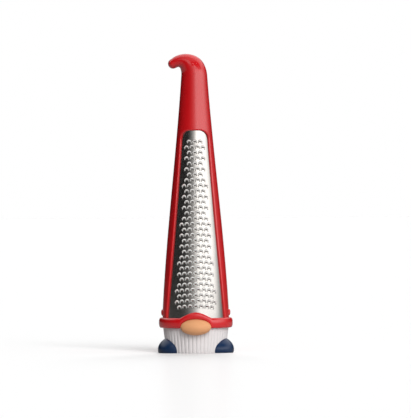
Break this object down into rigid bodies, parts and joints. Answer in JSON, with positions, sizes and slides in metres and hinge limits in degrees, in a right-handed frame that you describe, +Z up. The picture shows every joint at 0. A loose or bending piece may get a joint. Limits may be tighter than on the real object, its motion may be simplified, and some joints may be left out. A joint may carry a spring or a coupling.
{
  "type": "standing cheese grater",
  "caption": "Standing cheese grater in the form of a folk gnome: a tall pointed hat with a curved toothed steel plate in its front, standing in the collar of a ribbed cup that catches cheese.",
  "frame": {"origin": "on the ground, on the axis of the ribbed cup", "axes": "+Z up along the axis of the cup and hat, -Y to the front where the nose and the steel plate are, +X to the right as seen from the front; the tip of the hat bends towards -X"},
  "size_m": [0.0646, 0.0666, 0.2543],
  "materials": {
    "white_plastic": "satin white moulded plastic",
    "red_plastic": "satin-gloss red moulded plastic",
    "skin_plastic": "matte peach plastic",
    "navy_plastic": "satin navy plastic",
    "steel": "bright rolled stainless sheet"
  },
  "bodies": {
    "base": {"beard_cup": "white_plastic", "brim_collar": "red_plastic", "nose": "skin_plastic", "boot_left": "navy_plastic", "boot_right": "navy_plastic"},
    "hat": {"hat_front": "red_plastic", "hat_rear": "red_plastic", "grater_plate": "steel"}
  },
  "joints": [
    {"name": "hat_lift", "type": "slide", "parent": "base", "child": "hat", "axis": [0, 0, 1], "range_m": [0, 0.04]}
  ]
}
